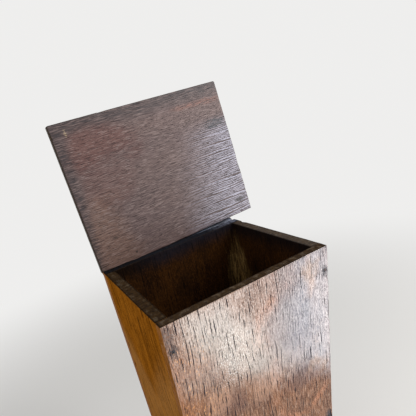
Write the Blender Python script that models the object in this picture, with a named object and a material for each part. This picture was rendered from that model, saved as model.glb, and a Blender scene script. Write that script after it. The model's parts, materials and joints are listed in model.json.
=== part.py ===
"""Tapered oak candle box, open at the top, with a crooked board lid on a leather strip hinge.

The box stands on the floor with its base in the plane z = 0, its back board upright and facing +Y and its
front board leaning out towards -Y at the top. The lid stands open, as far as its hinge lets it go.
All sizes are in metres.
"""

import math

import bmesh
import bpy
from mathutils import Matrix, Vector

# The box: outside sizes at the rim, and how much the walls lean in on the way down.
RIM_WIDTH = 0.150
RIM_DEPTH = 0.1355
BOX_HEIGHT = 0.380
SIDE_LEAN = math.radians(1.09)
FRONT_LEAN = math.radians(7.28)

# The boards.
FRONT_THICKNESS = 0.0085
BACK_THICKNESS = 0.0095
SIDE_THICKNESS = 0.0095
BOTTOM_THICKNESS = 0.0095
BOARD_ARRIS = 0.0006
BOARD_GAP = 0.0003

# The lid, measured on the closed lid. It is nailed on crooked and overhangs the box most on the right.
LID_WIDTH = 0.1753
LID_DEPTH = 0.1420
LID_THICKNESS = 0.0095
LID_ARRIS = 0.0015
LID_SKEW = math.radians(2.47)
LID_LEFT_INSET = 0.0005
LID_REAR_OVERHANG = 0.0048
LID_SEAT_GAP = 0.0003
LID_OPEN = math.radians(95.4)

# The hinge line, measured from the back board's upper rear edge.
HINGE_BEHIND_BACK = 0.0010

# The leather strip: one leaf on the back board, one on the lid and the fold between them.
LEATHER_THICKNESS = 0.0020
LEATHER_END_INSET = 0.0010
LEATHER_GAP = 0.0003
BOX_LEAF_HEIGHT = 0.0260
BOX_LEAF_BELOW_RIM = 0.0083
LID_LEAF_HEIGHT = 0.0260
LID_LEAF_FROM_HINGE = 0.0060
FOLD_UNDER_LID = 0.0017
FOLD_LOW_BULGE = 0.0031
FOLD_OUT_BULGE = 0.0043
FOLD_COLUMNS = 12
FOLD_ROWS = 7

# The wrought nails that hold the boards.
NAIL_LENGTH = 0.0260
NAIL_SHANK_RADIUS = 0.0012
NAIL_POINT_RADIUS = 0.0006
NAIL_HEAD_RADIUS = 0.0026
NAIL_HEAD_HEIGHT = 0.0012
NAIL_SUNK = 0.0004
NAIL_GAP = 0.0003
NAIL_ROWS = 3
NAIL_TOP_ROW = 0.022
NAIL_LOW_ROW = 0.042
BOTTOM_NAIL_SPACING = 0.060
SIDES_OF_NAIL = 10

# The tacks that hold the leather.
TACK_LENGTH = 0.0082
TACK_SHANK_RADIUS = 0.0009
TACK_POINT_RADIUS = 0.0005
TACK_HEAD_RADIUS = 0.0036
TACK_HEAD_HEIGHT = 0.0014
TACK_GAP = 0.0003
TACK_COUNT = 5
TACK_END_INSET = 0.0100

# Worked out from the sizes above.
BASE_DEPTH = RIM_DEPTH - BOX_HEIGHT * math.tan(FRONT_LEAN)
BACK_Y = BASE_DEPTH / 2
RIM_FRONT_Y = BACK_Y - RIM_DEPTH
HALF_RIM = RIM_WIDTH / 2
HINGE = Vector((0.0, BACK_Y + HINGE_BEHIND_BACK, BOX_HEIGHT))

OAK_FRONT = ("oak_front", (0.36, 0.23, 0.15, 1.0), 0.45, 0.0)
OAK_SIDE = ("oak_side", (0.26, 0.13, 0.03, 1.0), 0.45, 0.0)
OAK_BACK = ("oak_back", (0.12, 0.07, 0.035, 1.0), 0.6, 0.0)
OAK_LID = ("oak_lid", (0.15, 0.105, 0.1, 1.0), 0.5, 0.0)
LEATHER = ("hinge_leather", (0.02, 0.023, 0.03, 1.0), 0.55, 0.0)
IRON = ("nail_iron", (0.05, 0.05, 0.055, 1.0), 0.6, 0.8)


def clear_scene():
    for old in list(bpy.data.objects):
        bpy.data.objects.remove(old, do_unlink=True)


def material(look):
    name, colour, roughness, metallic = look
    found = bpy.data.materials.get(name)
    if found:
        return found
    made = bpy.data.materials.new(name)
    made.use_nodes = True
    shader = made.node_tree.nodes["Principled BSDF"]
    shader.inputs["Base Color"].default_value = colour
    shader.inputs["Roughness"].default_value = roughness
    shader.inputs["Metallic"].default_value = metallic
    return made


def mesh_from(name, bm):
    bmesh.ops.recalc_face_normals(bm, faces=bm.faces)
    mesh = bpy.data.meshes.new(name)
    bm.to_mesh(mesh)
    bm.free()
    return mesh


def place(name, mesh, look, location=(0, 0, 0), rotation=(0, 0, 0), parent=None):
    obj = bpy.data.objects.new(name, mesh)
    bpy.context.collection.objects.link(obj)
    obj.parent = parent
    obj.location = location
    obj.rotation_euler = rotation
    if not mesh.materials:
        mesh.materials.append(material(look))
    return obj


def add_bevel(obj, width):
    bevel = obj.modifiers.new("arris", "BEVEL")
    bevel.width = width
    bevel.segments = 1
    bevel.limit_method = "ANGLE"
    bevel.angle_limit = math.radians(40)


def plane(point, normal, inwards=0.0):
    """A plane as (unit normal, distance from the origin), moved inwards against its outward normal."""
    normal = Vector(normal).normalized()
    return normal, normal.dot(Vector(point)) - inwards


def meet(a, b, c):
    """The point where three planes meet."""
    rows = Matrix((a[0], b[0], c[0]))
    return rows.inverted() @ Vector((a[1], b[1], c[1]))


def wall(side, inwards=0.0):
    """One outside plane of the box, or the same plane moved into the wood."""
    if side == "left":
        return plane((-HALF_RIM, 0, BOX_HEIGHT), (-1, 0, -math.tan(SIDE_LEAN)), inwards)
    if side == "right":
        return plane((HALF_RIM, 0, BOX_HEIGHT), (1, 0, -math.tan(SIDE_LEAN)), inwards)
    if side == "front":
        return plane((0, RIM_FRONT_Y, BOX_HEIGHT), (0, -1, -math.tan(FRONT_LEAN)), inwards)
    if side == "back":
        return plane((0, BACK_Y, 0), (0, 1, 0), inwards)
    if side == "top":
        return plane((0, 0, BOX_HEIGHT), (0, 0, 1), inwards)
    return plane((0, 0, 0), (0, 0, -1), inwards)


def board(name, look, left, right, front, back, low, high):
    """A board with six flat faces, given as planes."""
    corners = [meet(x, y, z) for z in (low, high) for y in (front, back) for x in (left, right)]
    centre = sum(corners, Vector()) / 8
    bm = bmesh.new()
    v = [bm.verts.new(corner - centre) for corner in corners]
    for face in ((0, 1, 3, 2), (4, 5, 7, 6), (0, 1, 5, 4), (2, 3, 7, 6), (0, 2, 6, 4), (1, 3, 7, 5)):
        bm.faces.new([v[i] for i in face])
    obj = place(name, mesh_from(name, bm), look, location=centre)
    add_bevel(obj, BOARD_ARRIS)
    return obj


def turned(bm, profile, sides, matrix=None):
    """A solid turned about the local -Z axis, from (radius, depth) pairs that run from the head to the point."""
    matrix = matrix or Matrix()
    rings = []
    for radius, depth in profile:
        ring = []
        for k in range(sides):
            turn = 2 * math.pi * (k + 0.5) / sides
            ring.append(bm.verts.new(matrix @ Vector((radius * math.cos(turn), radius * math.sin(turn), -depth))))
        rings.append(ring)
    for upper, lower in zip(rings, rings[1:]):
        for k in range(sides):
            n = (k + 1) % sides
            bm.faces.new((upper[k], upper[n], lower[n], lower[k]))
    bm.faces.new(rings[0])
    bm.faces.new(list(reversed(rings[-1])))


def nail_profile():
    return [
        (NAIL_HEAD_RADIUS * 0.55, NAIL_SUNK),
        (NAIL_HEAD_RADIUS, NAIL_SUNK + NAIL_HEAD_HEIGHT * 0.4),
        (NAIL_HEAD_RADIUS, NAIL_SUNK + NAIL_HEAD_HEIGHT),
        (NAIL_SHANK_RADIUS, NAIL_SUNK + NAIL_HEAD_HEIGHT),
        (NAIL_SHANK_RADIUS, NAIL_LENGTH * 0.7),
        (NAIL_POINT_RADIUS, NAIL_LENGTH),
    ]


def nail_hole_profile():
    step = NAIL_SUNK + NAIL_HEAD_HEIGHT + NAIL_GAP
    return [
        (NAIL_HEAD_RADIUS + NAIL_GAP, -NAIL_HEAD_RADIUS),
        (NAIL_HEAD_RADIUS + NAIL_GAP, step),
        (NAIL_SHANK_RADIUS + NAIL_GAP, step),
        (NAIL_SHANK_RADIUS + NAIL_GAP, NAIL_LENGTH + NAIL_GAP),
    ]


def tack_profile():
    """Depth 0 is the leather's outer face, so the domed head stands above it."""
    return [
        (TACK_HEAD_RADIUS * 0.45, -TACK_GAP - TACK_HEAD_HEIGHT),
        (TACK_HEAD_RADIUS * 0.85, -TACK_GAP - TACK_HEAD_HEIGHT * 0.6),
        (TACK_HEAD_RADIUS, -TACK_GAP),
        (TACK_SHANK_RADIUS, -TACK_GAP),
        (TACK_SHANK_RADIUS, TACK_LENGTH * 0.6),
        (TACK_POINT_RADIUS, TACK_LENGTH),
    ]


def tack_hole_profile():
    return [
        (TACK_SHANK_RADIUS + TACK_GAP, -TACK_GAP * 4),
        (TACK_SHANK_RADIUS + TACK_GAP, TACK_LENGTH + TACK_GAP),
    ]


def pointing(position, outwards):
    """The matrix that puts local +Z along the outward direction at a position."""
    turn = Vector((0, 0, 1)).rotation_difference(Vector(outwards).normalized())
    return Matrix.Translation(position) @ turn.to_matrix().to_4x4()


def drive(group, mesh, look, places, hole, boards, parent=None):
    """Puts one fastener at each place and cuts its clearance hole in the boards it goes through."""
    bm = bmesh.new()
    for count, matrix in enumerate(places, start=1):
        location, turn, _ = matrix.decompose()
        nail = place(f"{group}_{count}", mesh, look, location, turn.to_euler(), parent)
        nail.data.shade_smooth()
        nail.data.set_sharp_from_angle(angle=math.radians(35))
        turned(bm, hole, SIDES_OF_NAIL, matrix)
    cutter = place(f"{group}_holes", mesh_from(f"{group}_holes", bm), look, parent=parent)
    cutter.hide_render = True
    cutter.display_type = "WIRE"
    for wood in boards:
        cut = wood.modifiers.new(f"{group}_holes", "BOOLEAN")
        cut.operation = "DIFFERENCE"
        cut.solver = "EXACT"
        cut.object = cutter


def build_box():
    low, high = wall("floor"), wall("top")
    left, right = wall("left"), wall("right")
    front_in = wall("front", FRONT_THICKNESS)
    back_in = wall("back", BACK_THICKNESS)
    front_end = wall("front", FRONT_THICKNESS + BOARD_GAP)
    back_end = wall("back", BACK_THICKNESS + BOARD_GAP)
    side_in = SIDE_THICKNESS + BOARD_GAP
    boards = {
        "front": board("front_board", OAK_FRONT, left, right, wall("front"), front_in, low, high),
        "back": board("back_board", OAK_BACK, left, right, back_in, wall("back"), low, high),
        "left": board("left_side", OAK_SIDE, left, wall("left", SIDE_THICKNESS), front_end, back_end, low, high),
        "right": board("right_side", OAK_SIDE, wall("right", SIDE_THICKNESS), right, front_end, back_end, low, high),
    }
    floor_top = plane((0, 0, BOTTOM_THICKNESS), (0, 0, 1))
    boards["bottom"] = board("bottom_board", OAK_BACK, wall("left", side_in), wall("right", side_in),
                             front_end, back_end, low, floor_top)
    return boards


def nail_heights():
    top, low = BOX_HEIGHT - NAIL_TOP_ROW, NAIL_LOW_ROW
    return [top + (low - top) * k / (NAIL_ROWS - 1) for k in range(NAIL_ROWS)]


def nail_boards(boards):
    bm = bmesh.new()
    turned(bm, nail_profile(), SIDES_OF_NAIL)
    mesh = mesh_from("nail", bm)
    middle = BOTTOM_THICKNESS / 2
    for side in ("left", "right"):
        centre = wall(side, SIDE_THICKNESS / 2)
        for face in ("front", "back"):
            outside = wall(face)
            places = []
            for height in nail_heights():
                spot = meet(centre, outside, plane((0, 0, height), (0, 0, 1)))
                places.append(pointing(spot, outside[0]))
            drive(f"{face}_{side}_nail", mesh, IRON, places, nail_hole_profile(), [boards[face], boards[side]])
    level = plane((0, 0, middle), (0, 0, 1))
    for face in ("front", "back"):
        outside = wall(face)
        places = []
        for x in (-BOTTOM_NAIL_SPACING / 2, BOTTOM_NAIL_SPACING / 2):
            spot = meet(plane((x, 0, 0), (1, 0, 0)), outside, level)
            places.append(pointing(spot, (0, outside[0].y, 0)))
        drive(f"bottom_{face}_nail", mesh, IRON, places, nail_hole_profile(), [boards[face], boards["bottom"]])
    for face in ("left", "right"):
        outside = wall(face)
        spot = meet(outside, plane((0, 0, 0), (0, 1, 0)), level)
        places = [pointing(spot, (outside[0].x, 0, 0))]
        drive(f"bottom_{face}_nail", mesh, IRON, places, nail_hole_profile(), [boards[face], boards["bottom"]])


def build_lid():
    """The lid is drawn closed, in the frame of an empty on the hinge line, and the empty turns it open."""
    pivot = bpy.data.objects.new("lid_pivot", None)
    bpy.context.collection.objects.link(pivot)
    pivot.location = HINGE
    pivot.rotation_euler = (-LID_OPEN, 0, 0)
    bm = bmesh.new()
    bmesh.ops.create_cube(bm, size=1.0)
    bmesh.ops.translate(bm, verts=bm.verts, vec=(0.5, -0.5, 0.5))
    bmesh.ops.scale(bm, verts=bm.verts, vec=(LID_WIDTH, LID_DEPTH, LID_THICKNESS))
    corner = Vector((LID_LEFT_INSET - HALF_RIM, LID_REAR_OVERHANG - HINGE_BEHIND_BACK, LID_SEAT_GAP))
    turn = Matrix.Translation(corner) @ Matrix.Rotation(-LID_SKEW, 4, "Z")
    bmesh.ops.transform(bm, matrix=turn, verts=bm.verts)
    lid = place("lid", mesh_from("lid", bm), OAK_LID, parent=pivot)
    add_bevel(lid, LID_ARRIS)
    return pivot, lid


def slab(name, size, centre, look, parent=None):
    bm = bmesh.new()
    bmesh.ops.create_cube(bm, size=1.0)
    bmesh.ops.scale(bm, verts=bm.verts, vec=size)
    return place(name, mesh_from(name, bm), look, location=centre, parent=parent)


def tack_columns(width):
    span = width - 2 * TACK_END_INSET
    return [-span / 2 + span * k / (TACK_COUNT - 1) for k in range(TACK_COUNT)]


def lid_edge(x):
    """Height, against the rim, of the open lid's lower outer edge at a place along the hinge."""
    along = (x + HALF_RIM - LID_LEFT_INSET) * math.tan(LID_SKEW)
    behind = LID_REAR_OVERHANG - HINGE_BEHIND_BACK - along
    above = LID_SEAT_GAP + LID_THICKNESS
    return -behind * math.sin(LID_OPEN) + above * math.cos(LID_OPEN)


def bezier(a, b, c, d, steps):
    points = []
    for k in range(steps + 1):
        t = k / steps
        s = 1 - t
        points.append(a * s**3 + b * (3 * s * s * t) + c * (3 * s * t * t) + d * t**3)
    return points


def fold_path(x):
    """The leather's middle line in the (y, z) plane through x, from the back board's leaf to the lid's leaf."""
    edge = lid_edge(x)
    off = LEATHER_GAP + LEATHER_THICKNESS / 2
    start = Vector((off, -BOX_LEAF_BELOW_RIM + LEATHER_GAP))
    up_lid = Vector((-math.cos(LID_OPEN), math.sin(LID_OPEN)))
    out_lid = Vector((math.sin(LID_OPEN), math.cos(LID_OPEN)))
    outer = LID_SEAT_GAP + LID_THICKNESS + off
    end = Vector((HINGE_BEHIND_BACK, 0)) + up_lid * (LID_LEAF_FROM_HINGE - LEATHER_GAP) + out_lid * outer
    middle = Vector((LID_THICKNESS * 0.62, edge - FOLD_UNDER_LID))
    rise = Vector((0, 0.65 * (middle.y - start.y)))
    first = bezier(start, start + rise, middle - Vector((LID_THICKNESS * 0.26, 0)), middle, FOLD_ROWS)
    low = Vector((LID_THICKNESS + FOLD_LOW_BULGE, edge - FOLD_UNDER_LID * 1.45))
    out = Vector((LID_THICKNESS + FOLD_OUT_BULGE, edge + FOLD_UNDER_LID * 0.45))
    second = bezier(middle, low, out, end, FOLD_ROWS)
    return first + second[1:], up_lid


def build_fold(width):
    bm = bmesh.new()
    columns = []
    for k in range(FOLD_COLUMNS + 1):
        x = -width / 2 + width * k / FOLD_COLUMNS
        path, last_way = fold_path(x)
        column = []
        for i, point in enumerate(path):
            way = path[min(i + 1, len(path) - 1)] - path[max(i - 1, 0)]
            if i == 0:
                way = Vector((0, 1))
            if i == len(path) - 1:
                way = last_way
            normal = Vector((way.y, -way.x)).normalized() * LEATHER_THICKNESS / 2
            pair = []
            for p in (point - normal, point + normal):
                pair.append(bm.verts.new((x, BACK_Y + p.x, BOX_HEIGHT + p.y)))
            column.append(pair)
        columns.append(column)
    rows = len(columns[0])
    for a, b in zip(columns, columns[1:]):
        for i in range(rows - 1):
            for side in (0, 1):
                bm.faces.new((a[i][side], a[i + 1][side], b[i + 1][side], b[i][side]))
        for i in (0, rows - 1):
            bm.faces.new((a[i][0], a[i][1], b[i][1], b[i][0]))
    for column in (columns[0], columns[-1]):
        for i in range(rows - 1):
            bm.faces.new((column[i][0], column[i + 1][0], column[i + 1][1], column[i][1]))
    fold = place("hinge_fold", mesh_from("hinge_fold", bm), LEATHER)
    fold.data.shade_smooth()
    fold.data.set_sharp_from_angle(angle=math.radians(40))


def build_hinge(boards, pivot, lid):
    lean = (BOX_LEAF_BELOW_RIM + BOX_LEAF_HEIGHT) * math.tan(SIDE_LEAN)
    width = RIM_WIDTH - 2 * LEATHER_END_INSET - 2 * lean
    off = LEATHER_GAP + LEATHER_THICKNESS / 2
    leaf_z = BOX_HEIGHT - BOX_LEAF_BELOW_RIM - BOX_LEAF_HEIGHT / 2
    box_leaf = slab("hinge_leaf_box", (width, LEATHER_THICKNESS, BOX_LEAF_HEIGHT),
                    (0, BACK_Y + off, leaf_z), LEATHER)
    lid_top = LID_SEAT_GAP + LID_THICKNESS
    leaf_y = -LID_LEAF_FROM_HINGE - LID_LEAF_HEIGHT / 2
    lid_leaf = slab("hinge_leaf_lid", (width, LID_LEAF_HEIGHT, LEATHER_THICKNESS),
                    (0, leaf_y, lid_top + off), LEATHER, pivot)
    build_fold(width)
    bm = bmesh.new()
    turned(bm, tack_profile(), SIDES_OF_NAIL)
    mesh = mesh_from("tack", bm)
    face = BACK_Y + LEATHER_GAP + LEATHER_THICKNESS
    places = [pointing((x, face, leaf_z), (0, 1, 0)) for x in tack_columns(width)]
    drive("box_tack", mesh, IRON, places, tack_hole_profile(), [boards["back"], box_leaf])
    top = lid_top + LEATHER_GAP + LEATHER_THICKNESS
    places = [pointing((x, leaf_y, top), (0, 0, 1)) for x in tack_columns(width)]
    drive("lid_tack", mesh, IRON, places, tack_hole_profile(), [lid, lid_leaf], pivot)


clear_scene()
box_boards = build_box()
nail_boards(box_boards)
lid_pivot, lid_board = build_lid()
build_hinge(box_boards, lid_pivot, lid_board)
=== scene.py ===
"""The looks of a candle box: worn oak boards, a leather strip hinge, wrought nails and tacks.

Each board is built in its own frame: x runs across the grain, y from the outer face into the wood and z along
the grain, with the outer face at y = 0. Lengths are in metres, and in the materials in millimetres.
"""

import json
import math
import random
from itertools import product

import bmesh
import bpy
from bpy.props import FloatProperty, FloatVectorProperty, IntProperty, PointerProperty
from mathutils import Matrix, Vector, noise
from mathutils.geometry import interpolate_bezier


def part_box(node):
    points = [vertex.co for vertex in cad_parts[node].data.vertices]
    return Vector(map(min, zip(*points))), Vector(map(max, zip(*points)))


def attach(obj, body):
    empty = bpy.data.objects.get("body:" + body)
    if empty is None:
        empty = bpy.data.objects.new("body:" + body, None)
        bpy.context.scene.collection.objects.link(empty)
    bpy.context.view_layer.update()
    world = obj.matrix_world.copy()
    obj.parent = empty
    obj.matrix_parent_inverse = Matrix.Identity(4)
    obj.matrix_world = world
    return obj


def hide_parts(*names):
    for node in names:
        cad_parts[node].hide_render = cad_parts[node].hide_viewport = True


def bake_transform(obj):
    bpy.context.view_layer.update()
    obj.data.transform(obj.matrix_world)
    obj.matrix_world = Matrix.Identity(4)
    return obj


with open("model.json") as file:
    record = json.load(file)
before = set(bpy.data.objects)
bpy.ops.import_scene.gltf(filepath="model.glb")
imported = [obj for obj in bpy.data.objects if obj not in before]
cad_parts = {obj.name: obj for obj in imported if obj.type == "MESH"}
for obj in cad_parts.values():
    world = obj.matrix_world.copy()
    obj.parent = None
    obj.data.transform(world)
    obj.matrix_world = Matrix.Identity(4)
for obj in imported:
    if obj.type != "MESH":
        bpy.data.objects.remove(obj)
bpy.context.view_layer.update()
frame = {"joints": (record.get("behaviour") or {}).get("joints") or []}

bl_info = {
    "name": "Candle Box",
    "version": (1, 0, 0),
    "blender": (4, 5, 0),
    "location": "View3D > Sidebar > Candle Box",
    "description": "Builds the worn oak boards, leather hinge and nails of a candle box around its solids",
    "category": "Add Mesh",
}

MM = 0.001

# The box's own form, as its solids have it.
HEIGHT = round(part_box("back_board")[1].z, 4)
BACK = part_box("back_board")[1].y
HALF_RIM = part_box("front_board")[1].x
RIM_DEPTH = 0.1355
RIM_FRONT = BACK - RIM_DEPTH
SIDE_TIP = math.tan(math.radians(1.09))
FRONT_TIP = math.tan(math.radians(7.28))
FRONT_THICK = 0.0085
BOARD_THICK = 0.0095
BOARD_LAP = 0.0002

# How finely the boards are divided: along their lengths, and in millimetres from their ends.
BOARD_STEP, BOTTOM_STEP = 0.004, 0.006
BOARD_ENDS = (0, 0.35, 0.7, 1.05, 1.5, 2.2, 3.4, 5.5)

# Lumps of wear to the metre, how deep chips point, how many millimetres off an arris count, and the seeds.
ARRIS_LUMPS, RIM_LUMPS, FACE_LUMPS_ACROSS, FACE_LUMPS_ALONG = 110, 45, 14, 7
CHIP_CORE = 0.004
BOTTOM_CHIPS = 4
EDGE_REACH = 25.0
WALL_SEED, BOTTOM_SEED, LID_SEED, NAIL_SEED = 5, 9, 12, 101
TACK_SEEDS = {"box": 201, "lid": 211}

# The lid, on a hinge line just behind the back board.
HINGE = Vector(frame["joints"][0]["pos_m"])
LID_OPEN = math.radians(frame["joints"][0]["range_deg"][1])
LID_SKEW = math.radians(2.47)
LID_WIDTH, LID_DEPTH = 0.1753, 0.1420
LID_CORNER = Vector((-0.0745, 0.0038, 0.0003))
LID_OUTER = LID_CORNER.z + BOARD_THICK
PIVOT = Matrix.Translation(HINGE) @ Matrix.Rotation(-LID_OPEN, 4, "X")

# The leather strip, from the back board round the lid's rear edge.
LEATHER = 0.0020
LEATHER_GAP = 0.0003
LEATHER_OFF = LEATHER_GAP + LEATHER / 2
STRIP_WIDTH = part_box("hinge_leaf_box")[1].x * 2
STRIP_STEP = 0.0031
STRIP_ENDS = (0, 0.4, 0.9, 1.6, 3.0, 5.5)
BOX_LEAF_TOP, LEAF_HEIGHT, LID_LEAF_START = -0.0083, 0.0260, 0.0060
LEAF_ROWS, FOLD_ROWS = 10, 10
FOLD_UNDER_LID, FOLD_LOW_BULGE, FOLD_OUT_BULGE = 0.0017, 0.0031, 0.0043
CURL_REACH, TACK_PRESS, LEATHER_LIFT, THIN_EDGE, RAGGED_EDGE = 0.008, 0.006, 0.0002, 0.0012, 0.002
LEATHER_LUMPS, RAGGED_LUMPS, RAGGED_SHARE = 60, 90, 0.004

# The nail rows, up from the floor, the tacks, and how high and how far proud of the face their heads are.
NAIL_ROWS = (0.358, 0.200, 0.042)
BOTTOM_NAIL_X = 0.030
TACKS = 5
TACK_BOXES = [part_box(f"box_tack_{k}") for k in range(1, TACKS + 1)]
TACK_COLUMNS = [(low.x + high.x) / 2 for low, high in TACK_BOXES]
NAIL_HEIGHT, NAIL_PROUD = 0.0010, 0.0002
TACK_HEIGHT, TACK_PROUD = 0.0016, 0.0014
HEAD_SIDES = 14
HEAD_PROFILE = (
    (0.34, 0.96), (0.66, 0.78), (0.92, 0.42), (1.0, 0.12), (0.94, -0.1), (0.4, -0.3), (0.34, -2.2))

# The stage.
PAPER_WHITE = (1.0, 0.995, 0.985)
FLOOR_HALF, FLOOR_PARTS, FLOOR_FADE = 9.0, 24, (420, 1150)
CAMERA_PLACE = (-0.13816, -0.32111, 0.51510)
CAMERA_RIGHT = Vector((0.8425, -0.4940, -0.2148))
CAMERA_UP = Vector((0.3166, 0.1315, 0.9394))


def rgb(*levels):
    """A colour on a screen, from 0 to 255, as the linear value that a shader takes."""
    return tuple(c / 255 / 12.92 if c <= 10 else ((c / 255 + 0.055) / 1.055) ** 2.4 for c in levels)


def a_colour(name, description, default):
    return FloatVectorProperty(
        name=name, description=description, default=default, min=0, max=1, subtype="COLOR")


def a_length(name, description, default):
    return FloatProperty(
        name=name, description=description, default=default, min=0, precision=5, unit="LENGTH")


class CANDLEBOX_PG_wear(bpy.types.PropertyGroup):
    """How worn the pieces are."""

    arris: a_length("Board arris", "Radius that wear has given the edges of the box's boards", 0.0008)
    lid_arris: a_length("Lid arris", "Radius that wear has given the edges of the lid", 0.0014)
    warp: a_length("Warp", "How far the faces of the boards wander from flat", 0.00025)
    chips: IntProperty(
        name="Chips", description="Chips on the edges of each board", default=16, min=0, max=60)
    chip_depth: a_length("Chip depth", "Depth of the deepest chips", 0.0009)
    leather_curl: a_length("Leather curl", "How far the free ends of the leather stand off", 0.0009)
    nail_head: a_length("Nail head", "Radius of a wrought nail's head", 0.0026)
    tack_head: a_length("Tack head", "Radius of a tack's head", 0.0036)


class CANDLEBOX_PG_finish(bpy.types.PropertyGroup):
    """The colours of the woods, the leather and the iron."""

    front: a_colour("Front oak", "Waxed oak of the leaning front board", rgb(141, 99, 73))
    front_deep: a_colour("Front oak, dark", "Dark figure in the front board", rgb(103, 68, 50))
    # The left side's honey-orange and its dark figure are partly the wood's own tone and partly painted warm
    # bounce light; the left narrow edges of the front and back take these tones too.
    left: a_colour("Left oak", "Honey-brown oak of the left side", rgb(142, 85, 19))
    left_deep: a_colour("Left oak, dark", "Dark figure in the left side", rgb(110, 63, 12))
    right: a_colour("Right oak", "Brown oak of the right side", rgb(110, 73, 45))
    right_deep: a_colour("Right oak, dark", "Dark figure in the right side", rgb(80, 49, 27))
    lid: a_colour("Lid oak", "Grey-brown bare oak of the lid's underside", rgb(100, 80, 76))
    lid_deep: a_colour("Lid oak, dark", "Dark slate border of the lid's underside", rgb(50, 43, 45))
    back: a_colour("Back oak", "Oak of the back, the bottom and the lid's outer face", rgb(96, 66, 42))
    # The inside's dark tone is partly the unpolished wood and partly painted shade of the box's hollow.
    inside: a_colour("Inside oak", "Dark unpolished wood inside the box", rgb(60, 33, 7))
    rim: a_colour("Rim", "Grey-brown end grain of the rim", rgb(66, 49, 31))
    pore: a_colour("Pores", "Blue-black pores of the oak", rgb(34, 32, 40))
    # The blue of the leather's inner face is partly painted reflection of the light; the outer face is
    # brown-black.
    leather: a_colour("Leather", "Blue-black leather on the hinge's inner face", rgb(52, 63, 84))
    leather_outside: a_colour("Leather, outside", "Brown-black leather on the outer face", rgb(47, 40, 37))
    iron: a_colour("Iron", "Dark iron of nails and tacks", rgb(58, 58, 62))


class CANDLEBOX_PG_stage(bpy.types.PropertyGroup):
    """The floor, the lamps and the camera."""

    floor: a_colour("Floor", "Plain pale floor", (0.86, 0.85, 0.83))
    background: FloatProperty(
        name="Background", description="Its brightness, where 1 is white", default=0.86, min=0, max=1,
        subtype="FACTOR")
    daylight: FloatProperty(name="Daylight", description="Even light from all round", default=0.42, min=0)
    lens: FloatProperty(
        name="Lens", description="Focal length in millimetres", default=35.27, min=1, unit="CAMERA")


def sum_of(operation, swapped=False):
    """A method of a socket that adds a Math node of this operation on it and another value."""
    def added(self, other=0.0):
        first, second = (other, self) if swapped else (self, other)
        return self.paint.node("ShaderNodeMath", {"operation": operation}, {0: first, 1: second})
    return added


class Socket:
    """A socket of a material's tree, on which sums are written as on numbers."""

    def __init__(self, paint, socket):
        self.paint = paint
        self.socket = socket

    __add__ = __radd__ = sum_of("ADD")
    __sub__ = sum_of("SUBTRACT")
    __rsub__ = sum_of("SUBTRACT", swapped=True)
    __mul__ = __rmul__ = sum_of("MULTIPLY")
    __truediv__ = sum_of("DIVIDE")
    __pow__ = sum_of("POWER")
    __abs__ = sum_of("ABSOLUTE")
    least = sum_of("MINIMUM")
    most = sum_of("MAXIMUM")
    there_and_back = sum_of("PINGPONG")


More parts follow.
